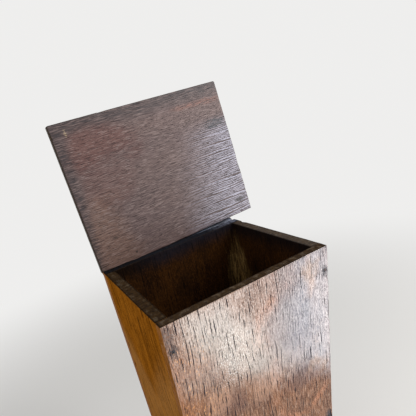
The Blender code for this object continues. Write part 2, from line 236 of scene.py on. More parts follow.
class Paint:
    """One material, the nodes that are written into it and its colour so far."""

    def __init__(self, name, tree=None):
        self.material = self.colour = None
        if tree is None:
            self.material = bpy.data.materials.new(name)
            self.material.use_nodes = True
            tree = self.material.node_tree
        self.tree = tree
        self.shader = tree.nodes.get("Principled BSDF")

    def set(self, node, key, value):
        socket = node.inputs[key]
        if isinstance(value, Socket):
            self.tree.links.new(value.socket, socket)
        else:
            socket.default_value = (*value, 1.0) if socket.type == "RGBA" else value

    def node(self, kind, settings, inputs, output=0):
        """One of the outputs of a new node, whose settings are made first and then its sockets."""
        node = self.tree.nodes.new(kind)
        for key, value in settings.items():
            setattr(node, key, value)
        for key, value in inputs.items():
            self.set(node, key, value)
        return Socket(self, node.outputs[output])

    def finish(self, **values):
        """Feeds the material's shader. An underscore in a socket's name stands for a blank."""
        for key, value in values.items():
            self.set(self.shader, key.replace("_", " "), value)
        return self.material

    def place(self):
        """Where a point lies in its piece's own frame, in millimetres."""
        return self.counted(self.node("ShaderNodeTexCoord", {}, {}, "Object"), (MM, MM, MM))

    def facing(self):
        """The three parts of the surface's direction in its piece's own frame."""
        return self.parts(self.node("ShaderNodeTexCoord", {}, {}, "Normal"))

    def parts(self, vector):
        return [self.node("ShaderNodeSeparateXYZ", {}, {0: vector}, k) for k in range(3)]

    def vector(self, x, y, z):
        return self.node("ShaderNodeCombineXYZ", {}, {0: x, 1: y, 2: z})

    def shift(self, vector, offset):
        return self.node("ShaderNodeVectorMath", {"operation": "ADD"}, {0: vector, 1: offset})

    def counted(self, vector, steps):
        """The vector counted in steps of these lengths."""
        shares = tuple(1 / step for step in steps)
        return self.node("ShaderNodeVectorMath", {"operation": "MULTIPLY"}, {0: vector, 1: shares})

    def cloud(self, vector, steps, seed, detail=2.0, roughness=0.5):
        """Soft lumps of about these lengths."""
        vector = self.counted(vector, steps)
        return self.node("ShaderNodeTexNoise", {"noise_dimensions": "4D"}, {
            "Vector": vector, "W": seed, "Scale": 1.0, "Detail": detail, "Roughness": roughness})

    def cells(self, vector, steps, seed, output, **settings):
        """Cells of about these lengths: how far off its cell's middle a point lies, or the cell's colour."""
        moved = self.shift(self.counted(vector, steps), (seed, seed * 1.3, seed * 0.7))
        inputs = {"Vector": moved, "Scale": 1.0}
        return self.node("ShaderNodeTexVoronoi", {"feature": "F1", **settings}, inputs, output)

    def step(self, value, low, high):
        """0 below low and 1 above high, or the other way round where low is the higher."""
        inputs = {"Value": value, "From Min": low, "From Max": high}
        return self.node("ShaderNodeMapRange", {"interpolation_type": "SMOOTHSTEP"}, inputs)

    def mix(self, mask, first, second):
        return self.node("ShaderNodeMix", {"data_type": "RGBA"}, {0: mask, 6: first, 7: second}, 2)

    def worn_edge(self):
        """Millimetres to the nearest arris of the piece."""
        return self.node("ShaderNodeAttribute", {"attribute_name": "edge"}, {}, "Fac")

    def lay(self, mask, colour):
        """Lays a colour over what is there."""
        self.colour = self.mix(mask, self.colour, colour)

    def finished(self, height, depth, **values):
        """The material, with its colour, bumps of this height and depth, and other values of its shader."""
        bump = self.node("ShaderNodeBump", {}, {"Height": height, "Strength": 1.0, "Distance": depth})
        return self.finish(Base_Color=self.colour, Normal=bump, **values)


class OakPaint(Paint):
    """The material of one oak board, with its grain and its faces as masks from 0 to 1."""

    def __init__(self, name, seed, pore, swirl=4.0, fine=(1.3, 9.0), line=(1.6, 26.0)):
        super().__init__(name)
        place = self.place()
        self.across, through, self.along = self.parts(place)
        sway = self.cloud(place, (38, 60, 110), seed)
        ripple = self.cloud(place, (7, 20, 26), seed + 4, 1.0)
        self.side = self.across + (sway - 0.5) * (swirl * 4) + (ripple - 0.5) * (swirl * 0.36)
        bent = self.bent = self.vector(self.side, through, self.along)
        self.figure = self.cloud(bent, (15, 25, 150), seed + 1, 4.0, 0.6)
        self.rings = self.step(self.cloud(bent, (4.5, 12, 300), seed + 2, 1.0), 0.38, 0.6)
        self.lines = self.cloud(bent, (line[0], 5, line[1]), seed + 7, 3.0, 0.65)
        self.fibre = self.cloud(bent, (0.8, 1.2, 14), seed + 3, 3.0, 0.6)
        self.speck = self.cloud(place, (0.7, 0.7, 1.7), seed + 8, 2.0, 0.6)
        self.patch = self.cloud(place, (24, 24, 40), seed + 5, 3.0, 0.55)
        self.pores = self.splits(*pore, seed + 10)
        self.fine = self.dashes(*fine, seed + 9)
        _, inward, upward = self.facing()
        self.flat = self.step(abs(inward), 0.55, 0.85)
        self.end = self.step(abs(upward), 0.55, 0.8)
        self.narrow = (1 - self.flat) * (1 - self.end)
        self.outer = self.step(inward, -0.3, -0.6)
        self.edge = self.worn_edge()
        self.end_pores = self.step(self.cells(place, (1.0, 2.4, 6.0), seed, "Distance"), 0.42, 0.2)
        self.end_rings = self.cloud(place, (2.6, 9.0, 30.0), seed + 6)
        self.end_wear = self.cloud(place, (5.0, 4.0, 5.0), seed + 12, 4.0, 0.65)

    def dashes(self, width, length, seed):
        """Fine pores as slivers along the grain, one in each room of this size, of differing sizes."""
        room = self.vector(self.side, self.along, 0.0), (width, length, 1.0), seed
        pointed = {"voronoi_dimensions": "2D", "distance": "MANHATTAN"}
        luck = self.parts(self.cells(*room, "Color", **pointed))[0]
        near = self.cells(*room, "Distance", **pointed) / (luck * 0.2 + 0.06)
        return self.step(near + self.uneven(fibre=1.2), 1.15, 0.75)

    def rows(self, apart, seed):
        """How far off the nearest of many rows along the grain a point lies, in their distances."""
        crowd = self.cloud(self.bent, (apart * 4, 9, 90), seed, 1.0)
        return (self.side / apart + (crowd - 0.5) * 4).there_and_back(0.5)

    def splits(self, apart, piece, seed):
        """Thin wavy pores along the grain, in rows this far apart and pieces of this length."""
        within = self.cloud(self.bent, (apart, 9, piece), seed + 1, 1.0) - 0.5
        off_row = self.rows(apart, seed) + self.uneven(speck=0.1)
        return self.step(off_row - (within * 0.9).least(0.12), 0.03, -0.03)

    def uneven(self, **weights):
        """A wander about 0, from some of the board's masks and how much each of them counts."""
        first, *others = [(getattr(self, mask) - 0.5) * weight for mask, weight in weights.items()]
        return sum(others, start=first)

    def off(self, middle, reach, along=None):
        """How far off a middle a place on the face is, where the half sizes are 1."""
        a = (self.across - middle[0]) / reach[0]
        b = ((along or self.along) - middle[1]) / reach[1]
        return (a * a + b * b) ** 0.5

    def spot(self, middle, reach, wander=0.0, along=None):
        """A soft patch on the face, 1 at its middle, from its middle and half sizes."""
        return self.step(self.off(middle, reach, along) + wander, 1.15, 0.45)

    def ring(self, middle, reach, wander):
        """A soft ring on the face, like the mark of a wet foot."""
        return self.step(abs(self.off(middle, reach) + wander - 1), 0.24, 0.0)

    def stains(self, places, reach):
        """Stains round nails at these places."""
        wander = self.uneven(patch=2.0, lines=2.6, speck=1.6)
        stain, *others = [self.spot(place, reach, wander) for place in places]
        for other in others:
            stain = stain.most(other)
        return stain

    def figured(self, low, high, light, dark):
        """Starts the wood afresh, from the two tones of its figure."""
        self.colour = self.mix(self.step(self.figure, low, high), light, dark)

    def streaked(self, dark, light, strength, by=None):
        """Lays darker and lighter streaks, by the lines of the grain or by another of its masks."""
        by = by or self.lines
        self.lay(self.step(by, 0.52, 0.36) * strength, dark)
        self.lay(self.step(by, 0.5, 0.66) * strength, light)

    def rubbed(self, reach, strength, colour, wander=2.0):
        """Lays a colour along the arrises, from full to none between two distances."""
        self.lay(self.step(self.edge + self.fibre * wander, reach[1], reach[0]) * strength, colour)

    def foot_tone(self):
        """Turns the wood browner towards the foot of the box."""
        self.lay(self.step(self.along + self.uneven(patch=90), -150, -270) * 0.75, rgb(104, 70, 44))

    def edged(self, low, high):
        """Gives the narrow edges the tones of the sides beside them, low and high across the board."""
        face = self.colour
        self.colour = self.mix(self.step(self.across, -10, 10), low, high)
        self.foot_tone()
        for by in (self.lines, self.fibre, self.speck):
            self.streaked(rgb(84, 50, 18), rgb(156, 106, 52), 0.3, by)
        self.colour = self.mix(self.narrow, face, self.colour)

    def rimmed(self, rim, dark, pore, pale=None):
        """Gives the ends their end grain, rubbed pale in places and dark along its arrises."""
        face = self.colour
        self.colour = self.mix(self.step(self.end_rings, 0.35, 0.7), rim, dark)
        if pale:
            self.lay(self.step(self.end_wear, 0.48, 0.66) * 0.6, pale)
            self.lay(self.step(self.end_wear, 0.44, 0.32) * 0.7, rgb(33, 27, 20))
        self.lay(self.end_pores * 0.5, pore)
        self.lay(self.step(self.edge + self.end_wear, 2.1, 1.1) * 0.75, rgb(26, 20, 14))
        self.colour = self.mix(self.end, face, self.colour)


def kept_between(value, low, high):
    return min(max(value, low), high)


def stations(length, step, ends=BOARD_ENDS):
    """Places along a piece: close at both ends, where it is round, and even between."""
    ends = [s * MM for s in ends if s * MM < length * 0.42]
    span = length - 2 * ends[-1]
    count = max(1, round(span / step))
    middle = [ends[-1] + span * k / count for k in range(1, count)]
    return ends + middle + [length - s for s in reversed(ends)]


def chips_on(size, count, depth, seed):
    """Seeded places on the edges of a block where a chip is gone: (place, reach, depth)."""
    draw = random.Random(seed)
    chips = []
    for _ in range(count):
        place = Vector(draw.choice((0.0, s)) for s in size)
        along = draw.choice((0, 2, 2))
        place[along] = draw.uniform(0, size[along])
        chips.append((place, draw.uniform(2.0, 5.5) * MM, depth * draw.uniform(0.25, 1.0)))
    return chips


def worn_point(point, size, arris, warp, chips, seed):
    """A point of a sharp block, moved on to its worn surface."""
    radius = arris * (1 + 0.55 * noise.noise(point * ARRIS_LUMPS + Vector((seed, 0, 0))))
    inner = Vector(kept_between(p, radius, s - radius) for p, s in zip(point, size))
    out = point - inner
    if out.length > 1e-9:
        point = inner + out * (radius / out.length)
    core = Vector(kept_between(p, CHIP_CORE, s - CHIP_CORE) for p, s in zip(point, size))
    for place, reach, depth in chips:
        near = (point - place).length / reach
        if near < 1:
            point = point + (core - point).normalized() * depth * (1 - near * near) ** 2
    broad = noise.noise(Vector((point.x * FACE_LUMPS_ACROSS, seed * 1.7, point.z * FACE_LUMPS_ALONG)))
    sunk = 1 + noise.noise(Vector((point.x * RIM_LUMPS, point.y * RIM_LUMPS, seed)))
    on_rim = point.z > size[2] / 2
    return Vector((point.x, point.y + warp * 0.5 * broad, point.z - warp * 0.5 * sunk * on_rim))


def worn_board(side, corners, step, arris, warp, chips, chip_depth, seed, lined=True):
    """A board with round worn edges between eight corners, which are given as [x][y][z] of its own frame.

    The inner face of a lined board takes its second material.
    """
    to_board = FRAMES[side].inverted()
    local = [[[to_board @ corner for corner in pair] for pair in side] for side in corners]
    ends = list(product((0, 1), repeat=2))
    size = Vector((
        sum((local[1][a][b] - local[0][a][b]).length for a, b in ends) / 4,
        sum((local[a][1][b] - local[a][0][b]).length for a, b in ends) / 4,
        sum((local[a][b][1] - local[a][b][0]).length for a, b in ends) / 4,
    ))
    gone = chips_on(size, chips, chip_depth, seed)
    rows = [stations(size.x, step * 1.4), stations(size.y, step), stations(size.z, step)]
    last = [len(row) - 1 for row in rows]
    bm = bmesh.new()
    edge = bm.verts.layers.float.new("edge")
    made = {}
    for key in product(*(range(len(row)) for row in rows)):
        if not any(k in (0, end) for k, end in zip(key, last)):
            continue
        sharp = Vector(row[k] for row, k in zip(rows, key))
        worn = worn_point(sharp, size, arris, warp, gone, seed)
        low_outer, high_outer, low_inner, high_inner = (
            local[0][a][b].lerp(local[1][a][b], worn.x / size.x) for a, b in ends)
        low = low_outer.lerp(low_inner, worn.y / size.y)
        high = high_outer.lerp(high_inner, worn.y / size.y)
        vert = made[key] = bm.verts.new(low.lerp(high, worn.z / size.z))
        gaps = sorted(min(p, s - p) for p, s in zip(sharp, size))
        vert[edge] = min(gaps[1] / MM, EDGE_REACH)
    for axis in range(3):
        a, b = [n for n in range(3) if n != axis]
        for end, m, n in product((0, last[axis]), range(last[a]), range(last[b])):
            quad = []
            for key_a, key_b in ((m, n), (m + 1, n), (m + 1, n + 1), (m, n + 1)):
                key = [end] * 3
                key[a], key[b] = key_a, key_b
                quad.append(made[tuple(key)])
            bm.faces.new(quad).material_index = int(axis == 1 and end > 0 and lined)
    return piece_from(f"{side}_panel", bm, FRAMES[side])


def placed(name, data, matrix=None):
    """A new object in the scene."""
    obj = bpy.data.objects.new(name, data)
    bpy.context.scene.collection.objects.link(obj)
    obj.matrix_world = matrix or Matrix()
    return obj


def piece_from(name, bm, matrix=None):
    bmesh.ops.recalc_face_normals(bm, faces=bm.faces)
    mesh = bpy.data.meshes.new(name)
    bm.to_mesh(mesh)
    bm.free()
    mesh.shade_smooth()
    return placed(name, mesh, matrix)


def dress(obj, looks, body, slot, *nodes):
    """Gives a piece its materials and the body it rides on, and hides the solids it stands for. The slot is
    not used.
    """
    for look in looks:
        obj.data.materials.append(look)
    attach(obj, body)
    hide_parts(*nodes)


def board_frame(point, outward, along=(0, 0, 1)):
    """A board's frame from a point of its outer face, the way out of the wood and the way of the grain."""
    inward, along = -Vector(outward).normalized(), Vector(along)
    along = (along - inward * inward.dot(along)).normalized()
    matrix = Matrix((inward.cross(along), inward, along)).transposed().to_4x4()
    matrix.translation = point
    return matrix


# A point and the outward way of each outside plane of the box.
WALLS = {
    "front": ((0, RIM_FRONT, HEIGHT), (0, -1, -FRONT_TIP)),
    "left": ((-HALF_RIM, 0, HEIGHT), (-1, 0, -SIDE_TIP)),
    "right": ((HALF_RIM, 0, HEIGHT), (1, 0, -SIDE_TIP)),
    "back": ((0, BACK, HEIGHT), (0, 1, 0)),
    "top": ((0, 0, HEIGHT), (0, 0, 1)),
    "floor": ((0, 0, 0), (0, 0, -1)),
}
LID_FRAME = (PIVOT @ Matrix.Translation(LID_CORNER + Vector((0, 0, BOARD_THICK)))
             @ Matrix.Rotation(-LID_SKEW, 4, "Z"))
LID_AXES = LID_FRAME.to_3x3()
FRAMES = {side: board_frame(*WALLS[side]) for side in ("front", "left", "right", "back")}
FRAMES["bottom"] = board_frame(*WALLS["floor"], (1, 0, 0))
FRAMES["lid"] = board_frame(LID_FRAME.translation, LID_AXES.col[2], LID_AXES.col[0])


def plane(point, normal, inwards=0.0):
    normal = Vector(normal).normalized()
    return normal, normal.dot(Vector(point)) - inwards


def level(height):
    return plane((0, 0, height), (0, 0, 1))


def wall(side, inwards=0.0):
    """One outside plane of the box, or the same plane moved into the wood."""
    return plane(*WALLS[side], inwards)


def meet(a, b, c):
    """The point where three planes meet."""
    return Matrix((a[0], b[0], c[0])).inverted() @ Vector((a[1], b[1], c[1]))


def corners_between(across, through, along):
    """The eight corners of a board between three pairs of planes, as [x][y][z]."""
    return [[[meet(x, y, z) for z in along] for y in through] for x in across]


def nails_of(face):
    """(node, place, outward way) of each nail through the front, the back or a wall at the bottom."""
    side = face.split("_")[-1]
    outside = wall(side)
    if face == side:
        crossing = {
            f"{face}_{beside}_nail_{row}": (wall(beside, BOARD_THICK / 2), level(height))
            for beside in ("left", "right") for row, height in enumerate(NAIL_ROWS, start=1)
        }
    else:
        cuts = [plane((x, 0, 0), (1, 0, 0)) for x in (-BOTTOM_NAIL_X, BOTTOM_NAIL_X)]
        if side in ("left", "right"):
            cuts = [plane((0, 0, 0), (0, 1, 0))]
        middle = level(BOARD_THICK / 2)
        crossing = {f"{face}_nail_{count}": (cut, middle) for count, cut in enumerate(cuts, start=1)}
    return [(node, meet(outside, *planes), outside[0]) for node, planes in crossing.items()]


def nail_places(side):
    """Where the nails of the front or the back sit, in millimetres across and along that board."""
    to_board = FRAMES[side].inverted()
    places = [to_board @ place for _, place, _ in nails_of(side)]
    return [(place.x / MM, place.z / MM) for place in places]


def front_look(finish):
    oak = OakPaint("waxed_front_oak", 3.1, (2.8, 14.0), 2.5, (1.2, 6.0), (1.2, 9.0))
    lay, step, spot, uneven = oak.lay, oak.step, oak.spot, oak.uneven
    tint = step(oak.cloud(oak.place(), (30, 30, 34), 17.0, 3.0, 0.6), 0.48, 0.7)
    # The rubbed spot is where the painted sheen is laid brightest and the coat is strongest.
    rubbed = spot((-23, -63), (50, 37), uneven(patch=1.2), oak.along + oak.across * 0.9)
    ragged = uneven(patch=0.7, lines=0.3)
    torn = ragged * 2
    # A cool blue-grey patch on the right of the sheen is painted reflection of the cool light; fewer pores
    # show through it.
    cool_sheen = spot((30, -56), (37, 36), ragged)
    tint = tint * (1 - rubbed.most(cool_sheen) * 0.8)
    oak.figured(0.35, 0.68, finish.front, finish.front_deep)
    lay(tint * 0.4, rgb(160, 108, 78))
    oak.streaked(rgb(70, 45, 37), rgb(172, 148, 132), 0.45)
    lay(step(oak.patch + uneven(lines=0.6), 0.5, 0.34) * 0.45, rgb(84, 62, 56))
    oak.streaked(rgb(58, 42, 36), rgb(196, 164, 136), 0.27, oak.speck)
    lay(cool_sheen * 0.45, rgb(102, 106, 114))
    dusk = spot((40, -116), (22, 14), torn).most(spot((-30, -98), (13, 17), torn))
    lay(dusk * 0.4, rgb(92, 70, 68))
    pale = spot((2, -97), (17, 17), torn).most(spot((-43, -86), (12, 15), torn))
    lay(pale * 0.34, rgb(208, 166, 140))
    upper = oak.ring((30, -54), (36, 33), ragged * 1.6) * step(oak.along - oak.across * 0.6, -80, -50)
    lower = oak.ring((38, -132), (28, 24), ragged * 1.6) * step(oak.along, -128, -144)
    broken = step(oak.speck + oak.patch - 0.5, 0.3, 0.7)
    lay(upper.most(lower) * broken * 0.42, rgb(208, 142, 106))
    left = step(oak.across + uneven(patch=40, lines=30), -50, -74)
    lay(left * 0.3, rgb(172, 112, 70))
    # Over the upper zone a pale colour is laid under the coat, partly wax bloom and partly painted sheen, the
    # reflection of the floor and lamps: bluish-grey to the right, cream where rubbed and warmer elsewhere.
    right = step(oak.across + uneven(patch=40), -15, 50)
    slope = oak.along + oak.across * 0.43
    polish_and_sheen = step(slope + uneven(patch=36, lines=30), -112, -76)
    wax_and_sheen = oak.mix(tint.most(1 - right), rgb(140, 150, 168), rgb(180, 158, 144))
    wax_and_sheen = oak.mix(rubbed, wax_and_sheen, rgb(188, 184, 174))
    lay(polish_and_sheen * (rubbed.most(right) * 0.26 + 0.16), wax_and_sheen)
    # Bright white specks in the middle of the sheen: a painted highlight.
    painted_glint = spot((-24, -54), (18, 30), torn) * step(oak.speck, 0.5, 0.64)
    lay(painted_glint * 0.4, rgb(236, 232, 222))
    flecks = oak.cloud(oak.bent, (1.0, 2.0, 3.6), 27.0, 3.0, 0.65) + uneven(lines=0.5)
    flecks = step(flecks, 0.57, 0.68) * step(oak.across + uneven(patch=60), -30, -60)
    lay(flecks * step(oak.along, -12, -34) * 0.85, rgb(224, 156, 90))
    oak.rubbed((0.9, 1.9), 0.35, rgb(190, 164, 144))
    stain = oak.stains(nail_places("front"), (4.2, 8.5))
    stain = stain.most(oak.stains([(-71.5, -11.0)], (7.0, 13.0)) * 0.75)
    lay(stain * (step(oak.speck, 0.36, 0.62) * 0.5 + 0.4), rgb(64, 67, 72))
    pores = oak.pores.most(oak.splits(1.8, 6.0, 83.0) * 0.6).most(oak.fine * (oak.rings * 0.4 + 0.2))
    pores = pores * (1 - cool_sheen * 0.4)
    lay(pores * 0.95, finish.pore)
    oak.edged(finish.left, finish.right)
    oak.rimmed(finish.rim, rgb(60, 46, 34), finish.pore, rgb(112, 98, 82))
    height = oak.fibre * 0.4 + oak.lines * 0.45 + oak.figure * 0.3 + oak.speck * 0.3
    dull = spot((14, -14), (32, 24), uneven(patch=1.2))
    satin = 0.53 + rubbed * 0.17 + uneven(lines=1.6, speck=2.4) - tint * 0.1 - left * 0.28
    satin = satin + step(slope, -50, -84) * 0.45 + step(oak.across, 40, 64) * 0.14
    satin = satin - dull * 0.2 - cool_sheen * 0.1 + painted_glint * 0.3
    return oak.finished(
        height - pores * 1.2 - stain * 0.25, 0.0005,
        Roughness=0.5 + uneven(fibre=0.25) + pores * 0.3 + stain * 0.15 + oak.end * 0.3,
        Coat_Weight=polish_and_sheen.most(0.22) * oak.flat * (1 - pores) * (1 - stain * 0.7) * satin,
        Coat_Roughness=0.27,
        Coat_IOR=2.0,
        Specular_IOR_Level=0.02,
    )


def side_look(finish, name, tone, deep, pale, foot_tone, gloss, pore):
    oak = OakPaint(name, 11.7, pore)
    oak.figured(0.38, 0.7, tone, deep)
    oak.lay(oak.step(oak.patch, 0.52, 0.74) * 0.5, pale)
    # Towards the foot each side is laid paler and greyer: painted satin sheen.
    oak.lay(oak.step(oak.along - abs(oak.across - 15) + oak.uneven(patch=36), -80, -118) * 0.65, foot_tone)
    oak.foot_tone()
    oak.streaked(deep, pale, 0.55)
    oak.streaked(deep, pale, 0.45, oak.speck)
    oak.rubbed((1.0, 2.4), 0.4, rgb(116, 78, 32))
    upper = oak.step(oak.along + oak.uneven(patch=60), -80, -15)
    pores = (oak.pores * (upper * 0.6 + 0.4)).most(oak.fine * (oak.rings * 0.4 + 0.1))
    oak.lay(pores * 0.95, rgb(30, 19, 9))
    oak.rimmed(finish.rim, rgb(50, 37, 24), finish.pore, rgb(96, 84, 68))
    return oak.finished(
        oak.fibre * 0.3 + oak.lines * 0.4 + oak.figure * 0.3 - pores, 0.0004,
        Roughness=0.55 + oak.uneven(fibre=0.2) + pores * 0.2 + oak.end * 0.2,
        Specular_IOR_Level=gloss,
    )


def inside_look(finish, name, rubbed=None, top=rgb(12, 12, 16)):
    """An unpolished inner face, its dark tone partly painted shade, rubbed paler in the rear right corner,
    round a place across the board.
    """
    oak = OakPaint(name, 51.3, (3.0, 12.0))
    oak.figured(0.38, 0.68, finish.inside, rgb(30, 13, 4))
    oak.streaked(rgb(22, 10, 3), rgb(66, 38, 14), 0.3)
    oak.streaked(rgb(22, 10, 3), rgb(84, 52, 22), 0.55, oak.speck)
    oak.lay(oak.step(oak.patch, 0.5, 0.36) * 0.5, rgb(20, 10, 4))
    # Along the top of each inner face a dark band of painted shade under the rim and lid, near-black towards
    # one end across the board.
    painted_shade_band = oak.mix(oak.step(oak.across, 10, 60), top, rgb(4, 3, 3))
    oak.lay(oak.step(oak.along + oak.uneven(patch=20), -19, -2) * 0.8, painted_shade_band)
    if rubbed is not None:
        worn = oak.spot((rubbed, -55), (15, 38), oak.uneven(lines=2.4, patch=2.0))
        streaks = oak.step(oak.fibre * 0.7 + oak.speck * 0.3 + oak.uneven(lines=0.7), 0.42, 0.66)
        oak.lay(worn * (streaks * 0.8 + 0.15), rgb(184, 148, 90))
    pores = oak.pores.most(oak.fine * 0.5)
    oak.lay(pores * 0.7, rgb(9, 5, 3))
    return oak.finished(
        oak.fibre * 0.3 + oak.lines * 0.4 - pores, 0.0005,
        Roughness=0.8 + oak.uneven(fibre=0.2),
        Specular_IOR_Level=0.06,
    )


def back_look(finish):
    oak = OakPaint("plain_back_oak", 23.4, (2.8, 12.0), 6.0)
    oak.figured(0.36, 0.68, finish.back, rgb(62, 41, 26))
    oak.lay(oak.step(oak.patch, 0.5, 0.75) * 0.5, rgb(116, 84, 54))
    oak.streaked(rgb(58, 38, 24), rgb(136, 104, 74), 0.4)
    oak.rubbed((1.0, 2.4), 0.5, rgb(138, 106, 76))
    oak.lay(oak.stains(nail_places("back"), (3.2, 6.0)) * oak.outer * 0.75, rgb(50, 50, 54))
    pores = (oak.pores * (oak.rings * 0.5 + 0.5)).most(oak.fine * (oak.rings * 0.5 + 0.1))
    oak.lay(pores * 0.9, finish.pore)
    oak.edged(finish.right, finish.left)
    # The back's end grain is laid dark navy, partly stain and partly painted shade under the open lid;
    # near-black at the left end as painted shade, and pale blue-grey at the right end as painted reflection
    # of the light.
    rim = oak.mix(oak.step(oak.across, 10, 60), rgb(31, 33, 40), rgb(14, 12, 13))
    rim = oak.mix(oak.step(oak.across + oak.uneven(patch=20), -36, -70), rim, rgb(116, 120, 136))
    oak.rimmed(rim, rgb(21, 22, 27), finish.pore)
    return oak.finished(
        oak.fibre * 0.35 + oak.lines * 0.4 + oak.figure * 0.3 - pores, 0.0005,
        Roughness=0.6 + oak.uneven(fibre=0.2) + pores * 0.2 + oak.end * 0.3,
        Coat_Weight=(0.4 - pores * 0.3) * oak.flat,
        Coat_Roughness=0.4,
        Specular_IOR_Level=0.05,
    )


def lid_look(finish):
    oak = OakPaint("bare_lid_oak", 37.9, (1.7, 9.0), 0.6, (1.0, 6.0), (0.8, 10.0))
    lay, step, spot, uneven = oak.lay, oak.step, oak.spot, oak.uneven
    out, along = oak.across, oak.along
    ragged = uneven(patch=12, lines=10)
    blotched = uneven(patch=1.6, lines=1.2)
    oak.figured(0.36, 0.7, finish.lid, rgb(94, 76, 74))
    red = spot((112, 34), (26, 40), uneven(patch=1.8, lines=1.2))
    red = red.most(spot((80, 36), (26, 26), blotched) * 0.5)
    lay(red * 0.6, rgb(90, 46, 37))
    lay(spot((20, 12), (46, 36), blotched) * 0.4, rgb(122, 88, 66))
    oak.streaked(rgb(70, 55, 56), rgb(154, 136, 132), 0.48)
    streak = spot((125, 148), (4.0, 32), uneven(lines=3.0, patch=1.5))
    lay(streak * step(oak.lines, 0.42, 0.6) * 0.65, rgb(146, 88, 68))
    left = step(along + ragged * 0.6 - out * 0.06, 8.0, -1.0)
    top = step(out + ragged * 0.6, 124, 136)
    lay(left.most(top) * (0.35 + step(oak.lines, 0.6, 0.4) * 0.6), finish.lid_deep)
    # At the right end the raised grain is bumped and glossier, and its ridges are laid bluish-white as a
    # painted highlight of the light catching them, with painted shade between them.
    raised_grain_sheen = step(along - out * 0.33 + ragged * 1.6, 76, 152) * step(out + ragged, 112, 92)
    pores = (oak.pores * 0.9).most(oak.fine * (oak.rings * 0.6 + 0.3))
    comb = step(oak.rows(1.9, 91.0) + uneven(lines=0.8), 0.12, 0.3) * (1 - pores)
    lay(raised_grain_sheen * comb * 0.62, rgb(174, 175, 194))
    lay(raised_grain_sheen * (1 - comb) * 0.42, rgb(58, 52, 58))
    knot = spot((101, 161), (5.4, 15.0), uneven(lines=1.6, patch=0.8))
    lay(knot * (step(oak.lines, 0.58, 0.44) * 0.7 + 0.15), rgb(34, 42, 49))
    marks = spot((28, 22), (1.8, 4.0), uneven(fibre=2.6)) * 0.6
    marks = marks.most(spot((7.5, 37), (1.2, 1.2)))
    marks = marks.most(spot((15, 164), (3.0, 7.0), uneven(lines=3.0)) * 0.9)
    lay(marks * 0.9, rgb(44, 36, 34))
    lay(spot((131.5, 12.8), (2.8, 0.9), uneven(fibre=6.0)) * 0.6, rgb(170, 150, 120))
    lay(pores * 0.66, rgb(42, 33, 36))
    underside = oak.colour
    oak.figured(0.36, 0.68, finish.back, rgb(62, 41, 26))
    oak.streaked(rgb(58, 38, 24), rgb(136, 104, 74), 0.4)
    lay(pores * 0.8, finish.pore)
    oak.colour = oak.mix(oak.outer, underside, oak.colour)
    oak.rimmed(rgb(60, 40, 16), rgb(38, 25, 10), finish.pore)
    oak.rubbed((0.9, 1.9), 0.5, rgb(54, 38, 24), 1.6)
    height = oak.fibre * 0.3 + oak.lines * 0.2 + oak.figure * 0.2 - pores * 0.8
    return oak.finished(
        height + raised_grain_sheen * comb * 0.5 - knot * 1.2 - marks, 0.0004,
        Roughness=0.52 + uneven(fibre=0.2) + pores * 0.2 - raised_grain_sheen * 0.12,
        Coat_Weight=(0.7 + raised_grain_sheen * comb * 0.3 - pores * 0.5) * oak.flat,
        Coat_Roughness=0.42,
        Specular_IOR_Level=0.05,
    )


def leather_look(finish):
    paint = Paint("worn_hinge_leather")
    place = paint.place()
    hide = paint.cells(place, (1.4, 1.4, 1.4), 2.0, "Distance")
    blotch = paint.cloud(place, (14, 9, 9), 9.0, 3.0)
    bent = paint.shift(place, paint.vector(blotch * 9, blotch * 9, blotch * 9))
    crease = paint.cells(bent, (5.0, 3.4, 3.4), 7.0, "Distance", feature="DISTANCE_TO_EDGE")
    crease = paint.step(crease, 0.07, 0.0) * paint.step(blotch, 0.36, 0.56)
    rubbed = paint.step(paint.cloud(place, (7, 5, 5), 13.0, 4.0, 0.65), 0.52, 0.68)
    across = paint.parts(place)[0]
    behind = paint.step(paint.facing()[1], 0.1, 0.5)
    # Towards the right end the inner face is laid pale blue-grey: painted reflection of the light in the gap
    # under the lid.
    painted_reflection = paint.step(across + (blotch - 0.5) * 40, 10, 66) * 0.8
    paint.colour = paint.mix(painted_reflection, finish.leather, rgb(146, 154, 172))
    paint.lay(behind, finish.leather_outside)
    dark = paint.mix(behind, rgb(27, 27, 31), rgb(28, 24, 23))
    paint.lay(paint.step(blotch, 0.4, 0.7) * 0.7, dark)
    paint.lay(rubbed * behind * 0.4, rgb(88, 70, 58))
    paint.lay(crease * 0.55, rgb(92, 78, 68))
    paint.lay(paint.step(paint.worn_edge() + blotch * 2.0, 2.6, 1.2) * 0.75, rgb(98, 76, 56))
    return paint.finished(
        hide * -0.35 + blotch * 0.8 - crease * 0.9, 0.0005,
        Roughness=0.58 + (blotch - 0.5) * 0.3 - rubbed * 0.1,
        Specular_IOR_Level=0.35,
    )


def iron_look(finish):
    paint = Paint("wrought_nail_iron")
    place = paint.place()
    hammer = paint.cells(place, (1.3, 1.3, 1.3), 4.0, "Distance")
    scale = paint.cloud(place, (0.8, 0.8, 0.8), 6.0, 4.0)
    rust = paint.step(paint.cloud(place, (2.4, 2.4, 2.4), 8.0, 3.0), 0.52, 0.68)
    paint.colour = paint.mix(paint.step(scale, 0.4, 0.7), finish.iron, rgb(38, 37, 40))
    paint.lay(rust * 0.7, rgb(92, 58, 38))
    return paint.finished(
        hammer * 0.6 + scale * 0.4, 0.0003,
        Roughness=0.48 + (scale - 0.5) * 0.3 + rust * 0.25,
        Metallic=0.85 - rust * 0.6,
    )


